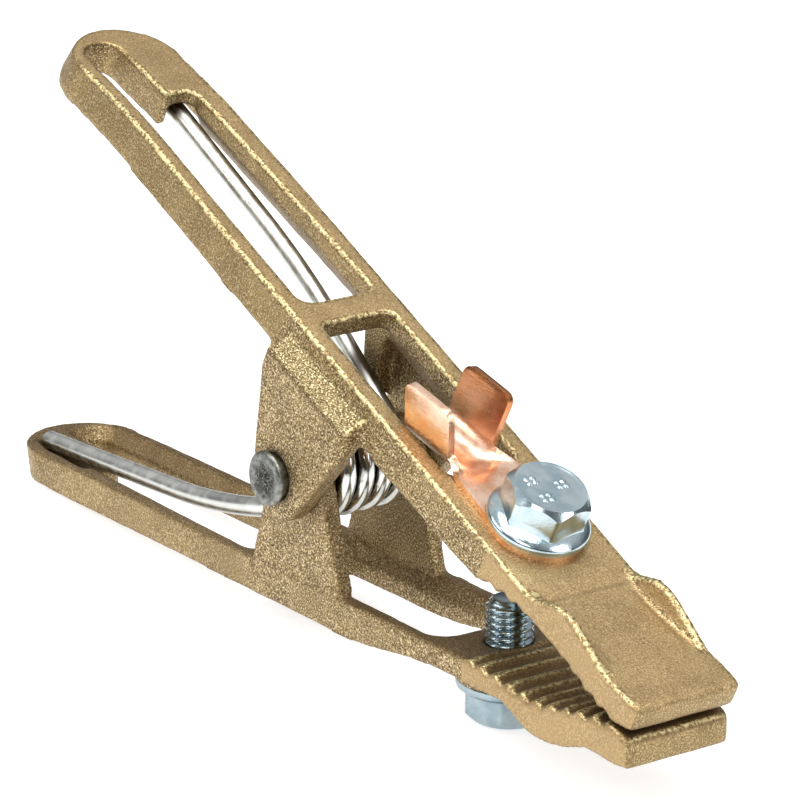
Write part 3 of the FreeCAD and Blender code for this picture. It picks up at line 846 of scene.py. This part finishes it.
def tube(name, line, place, first=None, last=None):
    """A round wire along a line of points; first and last may give the end directions."""
    rings = []
    for i, point in enumerate(line):
        if i == 0 and first is not None:
            along = first
        elif i == len(line) - 1 and last is not None:
            along = last
        else:
            along = line[min(i + 1, len(line) - 1)] - line[max(i - 1, 0)]
        across = along.cross(Vector((0, 1, 0))).normalized()
        other = along.cross(across).normalized()
        ring = []
        for k in range(WIRE_STEPS):
            angle = 2 * math.pi * k / WIRE_STEPS
            ring.append(point + (across * math.cos(angle) + other * math.sin(angle)) * WIRE_R)
        rings.append(ring)
    return skin(name, rings, place)


def coil_direction(angle, rise):
    """Direction of the coil at an angle from +X towards +Z, rising by rise per radian."""
    return Vector((-COIL_R * math.sin(angle), rise, COIL_R * math.cos(angle)))


def openness_for_shade(mesh, *nodes):
    """Marks where a piece is shut in by itself and by these nodes, where its shader paints shade."""
    solid = bmesh.new()
    solid.from_mesh(mesh)
    for node in nodes:
        solid.from_mesh(frame["nodes"][node].data)
    joined = bpy.data.meshes.new("joined")
    solid.to_mesh(joined)
    solid.free()
    spots = numbers(mesh.vertices, "co")
    normals = numbers(mesh.vertices, "normal")
    store(mesh, "open", openness(spots, normals, joined, 30, 7))


def spring_coil(material):
    """The coil, from the lower leg round to the upper one; returns its rise per radian."""
    start = math.radians(REST_TILT - 90 + LEG_EXIT)
    end = math.radians(360 * COIL_TURNS + REST_TILT - JAW_ANGLE + 90 - LEG_EXIT)
    rise = 2 * COIL_HALF / (end - start)
    line = []
    for i in range(COIL_STEPS + 1):
        angle = start + (end - start) * i / COIL_STEPS
        y = -COIL_HALF + rise * (angle - start)
        line.append(Vector((COIL_R * math.cos(angle), y, COIL_R * math.sin(angle))))
    mesh = tube("coil", line, Matrix.Translation(PIVOT),
                coil_direction(start, rise), coil_direction(end, rise))
    openness_for_shade(mesh, "upper_lever", "lower_lever")
    obj = piece("spring_coil", mesh, material, None, sharp=50)
    mid = PIVOT.copy()
    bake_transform(obj)
    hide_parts("torsion_spring")
    return rise


def spring_leg(name, place, body, rise, material):
    """One leg, from the coil to its flat-cut tip under the handle's end."""
    exit_angle = math.radians(90 - LEG_EXIT)
    start = Vector((COIL_R * math.cos(exit_angle), COIL_HALF, COIL_R * math.sin(exit_angle)))
    tip = Vector(LEG_TIP)
    run = start.x - LEG_KNEE_X
    knee_y = COIL_HALF + (LEG_TIP[1] - COIL_HALF) * run / (start.x - tip.x)
    knee = Vector((LEG_KNEE_X, knee_y, start.z + run * math.tan(math.radians(LEG_EXIT))))
    bend_in = knee + (start - knee).normalized() * LEG_BEND * run
    bend_out = knee + (tip - knee).normalized() * LEG_BEND * run
    before, within_bend, after = LEG_STEPS
    line = [start.lerp(bend_in, i / before) for i in range(before)]
    for i in range(within_bend + 1):
        t = i / within_bend
        line.append(bend_in.lerp(knee, t).lerp(knee.lerp(bend_out, t), t))
    line += [bend_out.lerp(tip, i / after) for i in range(1, after + 1)]
    mesh = tube(name, line, place, coil_direction(exit_angle, rise))
    openness_for_shade(mesh, "upper_lever", "lower_lever")
    piece(name, mesh, material, body, sharp=50)


# ---------- terminal ----------

def dipped(x, y, z):
    """A terminal point, turned down about the line where the flat neck ends."""
    dx = x - NECK_X
    return Vector((NECK_X + dx * math.cos(TAIL_DROOP) - z * math.sin(TAIL_DROOP), y,
                   dx * math.sin(TAIL_DROOP) + z * math.cos(TAIL_DROOP)))


def curled(s):
    """The barrel's section: a round bottom, then straight wings, s millimetres from its middle."""
    side = 1 if s >= 0 else -1
    s = abs(s)
    centre = BARREL_R - BARREL_SINK
    arc = BARREL_R * BARREL_ARC
    if s <= arc:
        angle = s / BARREL_R
        return side * BARREL_R * math.sin(angle), centre - BARREL_R * math.cos(angle)
    y0 = BARREL_R * math.sin(BARREL_ARC)
    z0 = centre - BARREL_R * math.cos(BARREL_ARC)
    wing = math.hypot(WING_TOP[0] - y0, WING_TOP[1] - z0)
    share = (s - arc) / wing
    return side * (y0 + (WING_TOP[0] - y0) * share), z0 + (WING_TOP[1] - z0) * share


def terminal_rows():
    """Stations along the terminal from ring to barrel end, as (x, curl, has wings)."""
    rows = []
    for i in range(RING_ROWS):
        angle = math.pi * (i + 0.25) / (2 * RING_ROWS - 1.5)
        rows.append((RING_R * math.cos(angle), 0.0, False))
    rows += [(x, 0.0, False) for x in NECK_ROWS]
    for i in range(FLARE_ROWS + 1):
        share = i / FLARE_ROWS
        x = NECK_X + (BARREL_FRONT - NECK_X) * share
        rows.append((x, share * share * (3 - 2 * share), i == FLARE_ROWS))
    length = BARREL_FRONT - BARREL_BACK
    for i in range(1, BARREL_ROWS + 1):
        share = 0.5 - 0.5 * math.cos(math.pi * i / BARREL_ROWS)
        rows.append((BARREL_FRONT - length * share, 1.0, True))
    return rows


def plate_half(x):
    """Half width of the flat part: the ring, then a neck that narrows towards the barrel."""
    shoulder_x = -RING_R * NECK_START
    if x > shoulder_x:
        return math.sqrt(max(RING_R ** 2 - x ** 2, 0.04))
    share = (shoulder_x - x) / (shoulder_x - NECK_X)
    return RING_R * NECK_ROOT + (NECK_HALF - RING_R * NECK_ROOT) * min(1.0, share)


def wing_height(x):
    """Developed half width of the barrel at x, with its corners rounded."""
    arc = BARREL_R * BARREL_ARC
    y0 = BARREL_R * math.sin(BARREL_ARC)
    z0 = BARREL_R - BARREL_SINK - BARREL_R * math.cos(BARREL_ARC)
    full = arc + math.hypot(WING_TOP[0] - y0, WING_TOP[1] - z0)
    to_end = min(BARREL_FRONT - x, x - BARREL_BACK)
    into = max(0.0, WING_CORNER - to_end)
    return full - WING_CORNER + math.sqrt(max(WING_CORNER ** 2 - into ** 2, 0.0))


def crimp_terminal(material):
    """Sheet copper bent from one blank: ring, neck, and an open barrel with standing wings."""
    arc = BARREL_R * BARREL_ARC
    sheet = bmesh.new()
    grid = {}
    rows = terminal_rows()
    for r, (x, curl, winged) in enumerate(rows):
        reach = FLAT_CELLS + WING_CELLS if winged else FLAT_CELLS
        for c in range(-reach, reach + 1):
            if abs(c) <= FLAT_CELLS:
                s = arc * c / FLAT_CELLS
            else:
                extra = (wing_height(x) - arc) * (abs(c) - FLAT_CELLS) / WING_CELLS
                s = math.copysign(arc + extra, c)
            y, z = curled(s)
            flat_y = plate_half(x) * c / FLAT_CELLS
            y = curl * y + (1 - curl) * flat_y
            point = dipped(x, y, curl * z) if x < NECK_X else Vector((x, y, 0))
            grid[r, c] = sheet.verts.new(point * MM)
    for r in range(len(rows) - 1):
        for c in range(-FLAT_CELLS - WING_CELLS, FLAT_CELLS + WING_CELLS):
            corners = [(r, c), (r, c + 1), (r + 1, c + 1), (r + 1, c)]
            if all(corner in grid for corner in corners):
                sheet.faces.new([grid[corner] for corner in corners])
    bmesh.ops.recalc_face_normals(sheet, faces=sheet.faces)
    mesh = bpy.data.meshes.new("terminal_sheet")
    sheet.to_mesh(mesh)
    sheet.free()
    blank = scratch("terminal_blank", mesh)
    thick = blank.modifiers.new("thickness", "SOLIDIFY")
    thick.thickness = SHEET * MM
    thick.offset = 0.0
    thick.use_even_offset = True
    drill_mesh = bpy.data.meshes.new("drill")
    drill = bmesh.new()
    bmesh.ops.create_cone(drill, cap_ends=True, segments=64, radius1=RING_HOLE_R * MM,
                          radius2=RING_HOLE_R * MM, depth=6 * MM)
    drill.to_mesh(drill_mesh)
    drill.free()
    drill_obj = scratch("drill", drill_mesh)
    hole = blank.modifiers.new("hole", "BOOLEAN")
    hole.object = drill_obj
    hole.operation = "DIFFERENCE"
    round_off = blank.modifiers.new("rounded", "BEVEL")
    round_off.width = SHEET_BEVEL * MM
    round_off.segments = 3
    round_off.limit_method = "ANGLE"
    round_off.angle_limit = math.radians(50)
    mesh = applied(blank)
    bpy.data.objects.remove(drill_obj)
    place = (UPPER @ Matrix.Translation(Vector((BOLT_X, 0, UPPER_FACE + SHEET / 2)) * MM)
             @ Matrix.Rotation(math.radians(TERMINAL_YAW), 4, "Z"))
    x, y, _ = (numbers(mesh.vertices, "co") / MM).T
    far_wing = np.clip((y - FAR_WING_FROM) / FAR_WING_FADE, 0, 1) * (x < BARREL_FRONT + 1.5)
    store(mesh, "far_wing", far_wing)
    mesh.transform(place)
    obj = piece("crimp_terminal", mesh, material, "upper", sharp=40)
    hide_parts("cable_terminal")


# ---------- stage ----------

def softbox(name, location, size, power):
    """A large soft light that looks at the middle of the object."""
    data = bpy.data.lights.new(name, "AREA")
    data.shape = "RECTANGLE"
    data.size, data.size_y = size
    data.energy = power
    obj = bpy.data.objects.new(name, data)
    obj.location = location
    obj.rotation_euler = (Vector(LIGHT_AIM) - Vector(location)).to_track_quat("-Z", "Y").to_euler()
    bpy.context.scene.collection.objects.link(obj)


def pale_floor():
    """A plain pale floor that glows, so that it looks white and shadows on it stay faint."""
    mesh = bpy.data.meshes.new("floor")
    half = FLOOR_HALF
    corners = [(-half, -half, 0), (half, -half, 0), (half, half, 0), (-half, half, 0)]
    mesh.from_pydata(corners, [], [(0, 1, 2, 3)])
    floor = bpy.data.objects.new("floor", mesh)
    bpy.context.scene.collection.objects.link(floor)
    g = Graph("floor_white", Roughness=0.9)
    g.set("Base Color", FLOOR_GREY)
    g.set("Emission Color", (1, 1, 1, 1))
    g.set("Emission Strength", FLOOR_GLOW)
    mesh.materials.append(g.material)


def pale_room():
    """A pale room, darker towards the horizon and behind the camera."""
    world = bpy.data.worlds.new("studio_room")
    world.use_nodes = True
    nodes = world.node_tree.nodes
    links = world.node_tree.links
    direction = nodes.new("ShaderNodeTexCoord").outputs["Generated"]
    parts = nodes.new("ShaderNodeSeparateXYZ")
    ramp = nodes.new("ShaderNodeValToRGB")
    links.new(direction, parts.inputs[0])
    links.new(parts.outputs["Z"], ramp.inputs[0])
    facing = nodes.new("ShaderNodeVectorMath")
    facing.operation = "DOT_PRODUCT"
    facing.inputs[1].default_value = DARK_SIDE
    links.new(direction, facing.inputs[0])
    dim = nodes.new("ShaderNodeMapRange")
    dim.interpolation_type = "SMOOTHSTEP"
    for socket, value in DIMMING:
        dim.inputs[socket].default_value = value
    links.new(facing.outputs["Value"], dim.inputs["Value"])
    dimmed = nodes.new("ShaderNodeVectorMath")
    dimmed.operation = "SCALE"
    links.new(ramp.outputs[0], dimmed.inputs[0])
    links.new(dim.outputs["Result"], dimmed.inputs["Scale"])
    links.new(dimmed.outputs["Vector"], nodes["Background"].inputs["Color"])
    elements = ramp.color_ramp.elements
    elements[0].position = ROOM_LEVELS[0][0]
    elements[1].position = ROOM_LEVELS[-1][0]
    for position, _ in ROOM_LEVELS[1:-1]:
        elements.new(position)
    for element, (_, level) in zip(sorted(elements, key=lambda e: e.position), ROOM_LEVELS):
        element.color = (level, level, level, 1)
    nodes["Background"].inputs["Strength"].default_value = ROOM_STRENGTH
    bpy.context.scene.world = world


def camera():
    """Looks from the front right, a little above the object."""
    data = bpy.data.cameras.new("camera")
    data.sensor_width = 36.0
    data.lens = CAMERA_LENS
    data.clip_start = 0.01
    obj = bpy.data.objects.new("camera", data)
    obj.location = Vector(CAMERA_AT) * MM
    obj.rotation_euler = [math.radians(angle) for angle in CAMERA_TURN]
    bpy.context.scene.collection.objects.link(obj)
    bpy.context.scene.camera = obj


def main():
    camera()
    pale_floor()
    pale_room()
    for name, location, size, power in SOFTBOXES:
        softbox(name, location, size, power)
    bpy.context.scene.view_settings.view_transform = "Standard"
    upper_brass = cast_brass("cast_brass_upper", math.radians(JAW_ANGLE - REST_TILT), UPPER_HOLLOW_SHADE)
    lower_brass = cast_brass("cast_brass_lower", math.radians(-REST_TILT), LOWER_HOLLOW_SHADE)
    casting("upper_lever", UPPER, upper_brass, "upper", edge_wear=1.0)
    casting("lower_lever", LOWER, lower_brass, "lower", edge_wear=0.4)
    zinc = zinc_plate("zinc_plate", UPPER_ZINC)
    # the lower bolt gets painted shade: a darker copy of the zinc
    shaded_zinc = zinc_plate("zinc_plate_shaded", LOWER_ZINC_SHADED)
    flange_bolt("upper_bolt", "upper_flange_bolt", UPPER_BOLT, UPPER, zinc, "upper")
    flange_bolt("lower_bolt", "lower_flange_bolt", LOWER_BOLT, LOWER, shaded_zinc, "lower")
    pivot_rivet(rivet_steel())
    rise = spring_coil(spring_steel("spring_steel_coil", smoothest=0.10, roughest=0.20))
    leg_steel = spring_steel("spring_steel_legs", smoothest=0.28, roughest=0.40)
    spring_leg("spring_upper_leg", UPPER, "upper", rise, leg_steel)
    spring_leg("spring_lower_leg", LOWER, "lower", rise, leg_steel)
    crimp_terminal(copper())


main()
